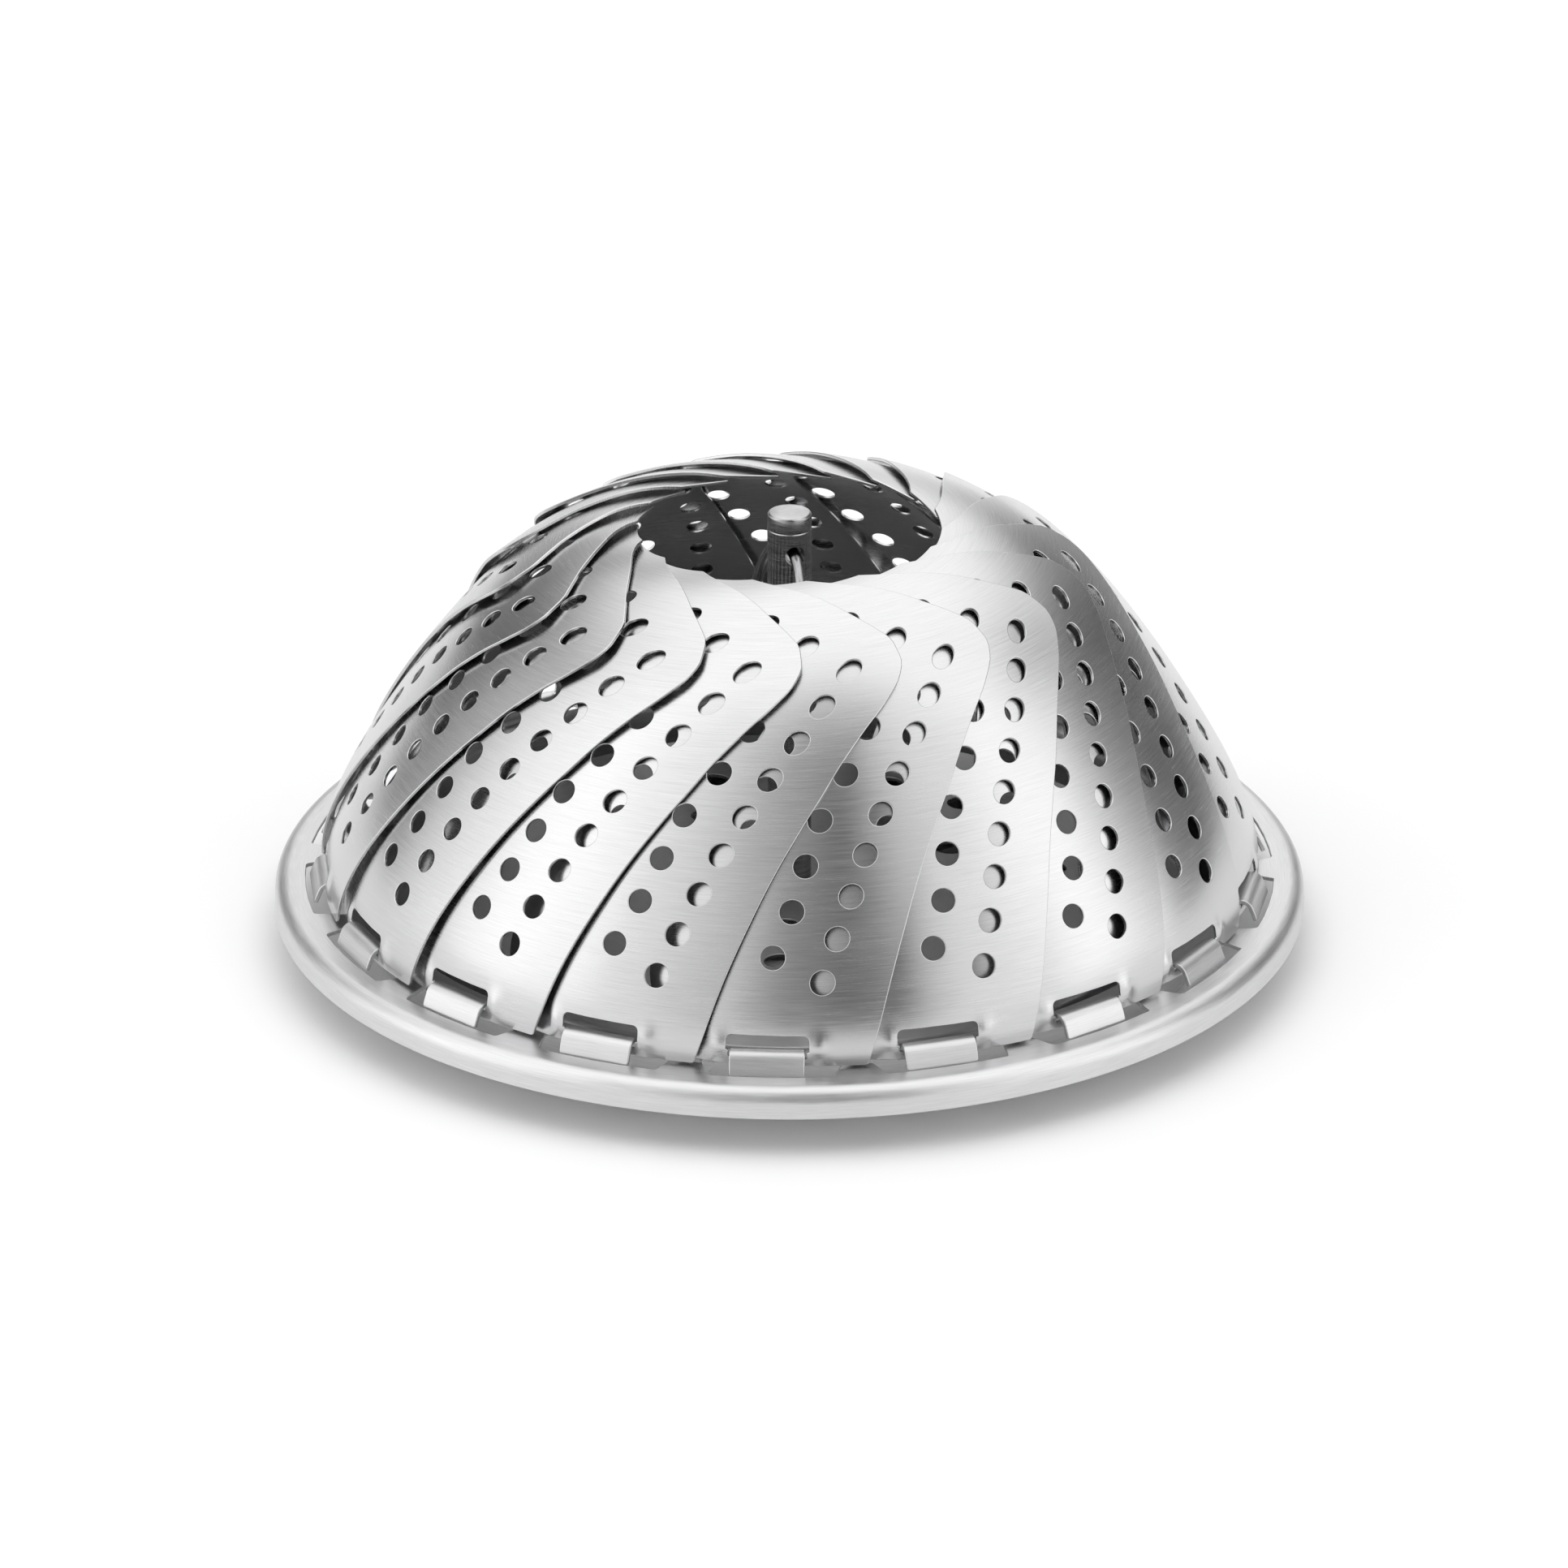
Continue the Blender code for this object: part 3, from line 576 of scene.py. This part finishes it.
def tab_surface(p):
    w, v = p[:, 0], p[:, 1]
    r, z = np.interp(v, _tl, TAB[:, 0]), np.interp(v, _tl, TAB[:, 1])
    a = np.interp(v, _tl, _tv)
    x = np.stack([w, -r, z], 1)
    n = np.stack([0 * w, np.sin(a), np.cos(a)], 1)
    return x, n


def tab_parts():
    end = float(_tl[-1])
    side = list(np.arange(0.4, end - 0.5, 0.25))
    loop = [(-TAB_HALF, 0.0, 0.0)] + [(x, 0.0, 0.0) for x in (-2.4, 0.0, 2.4)] + [(TAB_HALF, 0.0, 0.0)]
    loop += [(TAB_HALF, v, 0.0) for v in side] + [(TAB_HALF, end, 0.35)]
    loop += [(x, end, 0.0) for x in (2.4, 0.0, -2.4)] + [(-TAB_HALF, end, 0.35)]
    loop += [(-TAB_HALF, v, 0.0) for v in side[::-1]]
    w, v = np.meshgrid(np.arange(-4.2, 4.3, 1.2), side)
    return sheet([rounded(loop, 4)], np.stack([w.ravel(), v.ravel()], 1), tab_surface, PLATE_T, 0.16)


pts, nor, uv, faces = plate_parts()
polar = np.stack([np.hypot(uv[:, 0], uv[:, 1]), np.arctan2(uv[:, 1], uv[:, 0]) * 60.0], 1)
tabs = tab_parts()
all_pts, all_nor, all_uv, all_faces = [pts], [nor], [polar], list(faces)
count = len(pts)
for i in range(N):
    a = 2 * math.pi * i / N
    rot = np.array(((math.cos(a), -math.sin(a), 0), (math.sin(a), math.cos(a), 0), (0, 0, 1)))
    all_pts.append(tabs[0] @ rot.T)
    all_nor.append(tabs[1] @ rot.T)
    all_uv.append(np.stack([tabs[2][:, 1] + 90.0, tabs[2][:, 0] + 31.0 * i + 400.0], 1))
    all_faces += [tuple(int(v + count) for v in f) for f in tabs[3]]
    count += len(tabs[0])
plate = add_mesh("plate_sheet", np.concatenate(all_pts), np.concatenate(all_nor), np.concatenate(all_uv),
                 all_faces, PLATE_STEEL, wrap=2 * math.pi * 60.0)
stand(plate, "base", "base_plate")


# ------------------------------------------------------------- turned and bent
def lathe(name, section, n, mat, turn=0.0):
    """Solid turned from a closed (r, z) section; r = 0 points lie on the axis."""
    bm = bmesh.new()
    rings = []
    for r, z in section:
        if r < 1e-6:
            rings.append([bm.verts.new((0, 0, z * MM))])
        else:
            rings.append([bm.verts.new((x * MM, y * MM, z * MM)) for x, y in ring2d(0, 0, r, n, turn)])
    shut = section[0][0] > 1e-6
    pairs = list(zip(rings, rings[1:])) + ([(rings[-1], rings[0])] if shut else [])
    for a, b in pairs:
        for k in range(n):
            q = [a[k % len(a)], a[(k + 1) % len(a)], b[(k + 1) % len(b)], b[k % len(b)]]
            q = [v for i, v in enumerate(q) if v not in q[:i]]
            if len(q) > 2:
                bm.faces.new(q)
    bmesh.ops.recalc_face_normals(bm, faces=bm.faces)
    me = bpy.data.meshes.new(name)
    bm.to_mesh(me)
    bm.free()
    me.materials.append(mat)
    ob = bpy.data.objects.new(name, me)
    bpy.context.scene.collection.objects.link(ob)
    return ob


def apply(ob, angle=32.0):
    """Bakes an object's modifiers into its mesh and shades it."""
    dg = bpy.context.evaluated_depsgraph_get()
    me = bpy.data.meshes.new_from_object(ob.evaluated_get(dg))
    ob.modifiers.clear()
    ob.data = me
    me.shade_smooth()
    me.set_sharp_from_angle(angle=math.radians(angle))
    return ob


# centre post: threaded stud, shoulder, shank with a turned groove, cross hole
g = POST_TOP - 2.2
section = [(0.0, 1.0), (1.45, 1.0), (1.7, 1.05)]
z = 1.3
while z < FIELD + 0.2:
    section += [(2.0, z), (1.78, z + 0.35)]
    z += 0.7
section += [(2.0, FIELD + 0.45), (2.0, 5.9), (POST_R - 0.12, 5.9), (POST_R, 6.02)]
section += [(POST_R, z) for z in np.arange(8.0, g - 1.0, 4.0)]
section += [(POST_R, g - 0.17), (POST_R - 0.03, g - 0.14), (POST_R - 0.09, g - 0.06),
            (POST_R - 0.09, g + 0.06), (POST_R - 0.03, g + 0.14), (POST_R, g + 0.17),
            (POST_R, POST_TOP - 0.34), (POST_R - 0.05, POST_TOP - 0.22), (POST_R - 0.22, POST_TOP - 0.05),
            (POST_R - 0.34, POST_TOP), (1.4, POST_TOP), (0.0, POST_TOP)]
post = lathe("post_body", section, 96, POST_STEEL)
az = math.radians(RING_AZ)
along = Vector((math.cos(az), math.sin(az), 0))
bm = bmesh.new()
bmesh.ops.create_cone(bm, cap_ends=True, segments=40, radius1=1.35 * MM, radius2=1.35 * MM, depth=8 * MM)
bmesh.ops.rotate(bm, verts=bm.verts, cent=(0, 0, 0),
                 matrix=Vector((0, 0, 1)).rotation_difference(along).to_matrix())
bmesh.ops.translate(bm, verts=bm.verts, vec=(0, 0, RING_HOLE_Z * MM))
me = bpy.data.meshes.new("drill")
bm.to_mesh(me)
bm.free()
drill = bpy.data.objects.new("drill", me)
bpy.context.scene.collection.objects.link(drill)
mod = post.modifiers.new("cross_hole", "BOOLEAN")
mod.operation, mod.object, mod.solver = "DIFFERENCE", drill, "EXACT"
apply(post)
bpy.data.objects.remove(drill, do_unlink=True)
post.data.materials.clear()
post.data.materials.append(POST_STEEL)
stand(post, "base", "centre_post")


def wire(name, path, radius, mat, sides=14, joint=0):
    """Round wire bent into a closed loop, with a butt joint at one place."""
    path = np.asarray(path, float)
    n = len(path)
    tan = unit(np.roll(path, -1, 0) - np.roll(path, 1, 0))
    centre = path.mean(0)
    flat_n = unit(np.sum(np.cross(path - centre, np.roll(path, -1, 0) - centre), 0))
    side = unit(np.cross(tan, flat_n[None, :]))
    up = np.cross(side, tan)
    rows = []
    for k in range(n):
        if k == joint:
            for off, f in ((-0.16, 1.0), (-0.07, 0.9), (0.0, 0.84), (0.07, 0.9), (0.16, 1.0)):
                rows.append((path[k] + tan[k] * off, k, f))
        else:
            rows.append((path[k], k, 1.0))
    pts, uv = [], []
    run = 0.0
    for j, (c, k, f) in enumerate(rows):
        if j:
            run += float(np.linalg.norm(c - rows[j - 1][0]))
        for q in range(sides):
            a = 2 * math.pi * q / sides
            pts.append(c + radius * f * (side[k] * math.cos(a) + up[k] * math.sin(a)))
            uv.append((run, a * radius))
    m = len(rows)
    faces = []
    for j in range(m):
        for q in range(sides):
            a, b = j * sides + q, j * sides + (q + 1) % sides
            c, d = ((j + 1) % m) * sides + (q + 1) % sides, ((j + 1) % m) * sides + q
            faces.append((a, b, c, d))
    pts = np.array(pts)
    f = faces[0]
    out = pts[f[0]] - rows[0][0]
    if np.cross(pts[f[1]] - pts[f[0]], pts[f[2]] - pts[f[0]]) @ out < 0:
        faces = [f[::-1] for f in faces]
    ob = add_mesh(name, pts, None, np.array(uv), faces, mat)
    return ob


sag = POST_R ** 2 / (4 * RING_R)
lean = math.radians(RING_LEAN)
al = np.array(along)
aside = np.cross((0, 0, 1), al)
down = np.array((0, 0, -1.0)) * math.cos(lean) + aside * math.sin(lean)
t = 2 * np.pi * np.arange(84) / 84
path = (down[None, :] * (RING_R * (1 - np.cos(t)) - sag)[:, None] + al[None, :] * (RING_R * np.sin(t))[:, None]
        + np.array((0, 0, RING_HOLE_Z)))
stand(wire("ring_wire", path, RING_WIRE, WIRE_STEEL, 16, joint=30), "ring", "lift_ring")

for i, deg in enumerate(LEG_AZ):
    a = math.radians(deg)
    out = np.array((math.cos(a), math.sin(a), 0.0))
    side = np.array((-out[1], out[0], 0.0))
    flat = rounded([(-8.2, 0.0, 2.6), (0.0, 0.0, 0.0), (8.2, 0.0, 2.6), (6.6, LEG_LEN / 2, 0.0),
                    (5.0, LEG_LEN, 3.6), (0.0, LEG_LEN, 0.0), (-5.0, LEG_LEN, 3.6),
                    (-6.6, LEG_LEN / 2, 0.0)], 9)
    path = (side[None, :] * flat[:, :1] - out[None, :] * flat[:, 1:]
            + out * LEG_PIVOT_R + np.array((0, 0, LEG_PIVOT_Z)))
    mid = int(np.argmin(np.hypot(flat[:, 0], flat[:, 1] - LEG_LEN)))
    stand(wire("leg_wire_%d" % (i + 1), path, LEG_WIRE, WIRE_STEEL, 16, joint=mid),
          "leg_body_%d" % (i + 1), "leg_%d" % (i + 1))

# saddles that hold the legs' pivots under the field
under = 5.0
foot = under - 0.6
rr = LEG_WIRE + 0.7
chain = [(LEG_PIVOT_R - 4.4, foot, 0.0), (LEG_PIVOT_R - 2.05, foot, 0.5)]
chain += [(LEG_PIVOT_R + rr * math.cos(math.radians(d)), LEG_PIVOT_Z + rr * math.sin(math.radians(d)), 0.0)
          for d in range(195, 350, 10)]
chain += [(LEG_PIVOT_R + 2.05, foot, 0.5), (LEG_PIVOT_R + 3.6, foot, 0.0)]
STRAP = rounded(chain, 4, closed=False)
_sl = np.concatenate([[0.0], np.cumsum(np.hypot(*np.diff(STRAP, axis=0).T))])
_ss = np.unwrap(np.arctan2(*np.diff(STRAP, axis=0).T[::-1]))
_sv = np.concatenate([[_ss[0]], 0.5 * (_ss[:-1] + _ss[1:]), [_ss[-1]]])


def strap_surface(p):
    w, v = p[:, 0], p[:, 1]
    a = np.interp(v, _sl, _sv)
    x = np.stack([np.interp(v, _sl, STRAP[:, 0]), w, np.interp(v, _sl, STRAP[:, 1])], 1)
    return x, np.stack([-np.sin(a), 0 * w, np.cos(a)], 1)


end = float(_sl[-1])
side = list(np.arange(0.7, end - 0.5, 0.4))
half = CLIP_W / 2
loop = [(-half, 0.0, 0.6), (0.0, 0.0, 0.0), (half, 0.0, 0.6)] + [(half, v, 0.0) for v in side]
loop += [(half, end, 0.6), (0.0, end, 0.0), (-half, end, 0.6)] + [(-half, v, 0.0) for v in side[::-1]]
w, v = np.meshgrid(np.arange(-3.4, 3.5, 1.1), side)
strap = sheet([rounded(loop, 4)], np.stack([w.ravel(), v.ravel()], 1), strap_surface, 0.6, 0.12)
for i, deg in enumerate(LEG_AZ):
    ob = add_mesh("saddle_%d" % (i + 1), *strap, PLATE_STEEL, turn=math.radians(deg), shift=(700.0, 55.0 * i))
    stand(ob, "base", "leg_clip_%d" % (i + 1))

# washer and hexagonal nut under the field
washer = lathe("washer_disc", [(2.35, under - 0.38), (2.43, under - 0.3), (4.86, under - 0.3), (5.0, under - 0.42),
                               (5.0, under - 0.78), (4.86, under - 0.9), (2.43, under - 0.9),
                               (2.35, under - 0.82)], 64, ZINC)
apply(washer)
stand(washer, "base", "post_washer")

z_hi, z_lo = under - 1.2, 1.5
across = 3.5
bm = bmesh.new()
n = 72
rings = []
for r, z in ((2.35, z_lo + 0.25), (2.6, z_lo), (3.3, z_lo), (None, z_lo + 0.28), (None, z_hi - 0.28),
             (3.3, z_hi), (2.6, z_hi), (2.35, z_hi - 0.25)):
    ring = []
    for k in range(n):
        a = 2 * math.pi * k / n
        hexr = across / math.cos((a + math.pi / 6) % (math.pi / 3) - math.pi / 6)
        q = hexr if r is None else r
        zz = z
        if r is None:
            # the chamfer cuts the corners lower than the flats
            drop = (hexr - across) * 0.55
            zz = z + (drop if z < 2.5 else -drop)
        ring.append(bm.verts.new((q * math.cos(a) * MM, q * math.sin(a) * MM, zz * MM)))
    rings.append(ring)
for a, b in zip(rings, rings[1:] + rings[:1]):
    for k in range(n):
        bm.faces.new((a[k], a[(k + 1) % n], b[(k + 1) % n], b[k]))
bmesh.ops.recalc_face_normals(bm, faces=bm.faces)
me = bpy.data.meshes.new("hex_nut")
bm.to_mesh(me)
bm.free()
me.materials.append(ZINC)
nut = bpy.data.objects.new("hex_nut", me)
bpy.context.scene.collection.objects.link(nut)
apply(nut, 25.0)
stand(nut, "base", "post_nut")

# ------------------------------------------------------- floor, light, camera
me = bpy.data.meshes.new("floor")
me.from_pydata([(-8, -8, 0), (8, -8, 0), (8, 8, 0), (-8, 8, 0)], [], [(0, 1, 2, 3)])
floor = bpy.data.objects.new("floor", me)
bpy.context.scene.collection.objects.link(floor)
paper = bpy.data.materials.new("floor_paper")
paper.use_nodes = True
pb = paper.node_tree.nodes["Principled BSDF"]
pb.inputs["Base Color"].default_value = (0.95, 0.95, 0.95, 1.0)
pb.inputs["Roughness"].default_value = 1.0
pb.inputs["Specular IOR Level"].default_value = 0.0
me.materials.append(paper)

world = bpy.data.worlds.new("studio")
world.use_nodes = True
bpy.context.scene.world = world
t = Tree(world.node_tree)
back = world.node_tree.nodes["Background"]
look = t.node("ShaderNodeTexCoord").outputs["Generated"]


def toward(azimuth, elevation):
    """Unit vector: azimuth 0 is the camera's side (-Y), 90 is +X."""
    a, e = math.radians(azimuth), math.radians(elevation)
    return (math.sin(a) * math.cos(e), -math.cos(a) * math.cos(e), math.sin(e))


def lamp(azimuth, elevation, inner, outer, strength):
    """Soft round patch of light in the studio's dome."""
    n = t.node("ShaderNodeVectorMath", operation="DOT_PRODUCT")
    t.link(look, n.inputs[0])
    n.inputs[1].default_value = toward(azimuth, elevation)
    return t.span(n.outputs["Value"], math.cos(math.radians(outer)), math.cos(math.radians(inner)),
                  0.0, strength, smooth=True)


# the walls' brightness by azimuth, then the big overhead diffuser
WALLS = ((-180, 1.25), (-165, 0.60), (-150, 0.28), (-134, 0.24), (-115, 0.78), (-95, 1.40), (-70, 1.68),
         (-50, 1.24), (-35, 1.04), (-20, 0.72), (-8, 0.42), (5, 0.27), (18, 0.18), (28, 0.66),
         (40, 1.06), (55, 1.20), (75, 1.62), (92, 1.30), (108, 0.45), (124, 0.18), (146, 0.20),
         (164, 0.50), (180, 1.25))
TOP = 2.5
part = t.node("ShaderNodeSeparateXYZ")
t.link(look, part.inputs[0])
turn_ = t.math("ARCTAN2", part.outputs[0], t.math("MULTIPLY", part.outputs[1], -1.0))
ramp = t.node("ShaderNodeValToRGB")
t.link(t.span(turn_, -math.pi, math.pi, 0.0, 1.0), ramp.inputs[0])
ramp.color_ramp.interpolation = "CARDINAL"
stops = ramp.color_ramp.elements
for k, (deg, v) in enumerate(WALLS):
    e = stops[k] if k < 2 else stops.new((deg + 180.0) / 360.0)
    e.position = (deg + 180.0) / 360.0
    e.color = (v / TOP, v / TOP, v / TOP, 1.0)
walls = t.math("MULTIPLY", ramp.outputs[0], TOP)
over = lamp(180, 70, 14, 54, 1.0)
total = t.math("ADD", t.math("MULTIPLY", walls, t.math("SUBTRACT", 1.0, over)),
               t.math("MULTIPLY", over, 1.55))
t.link(total, back.inputs["Strength"])
back.inputs["Color"].default_value = (1.0, 1.0, 1.0, 1.0)

bpy.context.scene.view_settings.view_transform = "Standard"

aim = Vector((0, 0, 0.005))
cam_data = bpy.data.cameras.new("camera")
cam_data.sensor_width = 36.0
cam_data.lens = 7336.0 / 1932.0 * 36.0
cam_data.shift_x = -6.8 / 1932.0
cam_data.shift_y = 125.6 / 1932.0
cam_data.clip_start, cam_data.clip_end = 0.01, 50.0
camera = bpy.data.objects.new("camera", cam_data)
bpy.context.scene.collection.objects.link(camera)
offset = Vector(toward(2.57, 24.89)) * 0.812
camera.location = aim + offset
camera.rotation_euler = (-offset).to_track_quat("-Z", "Y").to_euler()
bpy.context.scene.camera = camera

bpy.context.view_layer.update()
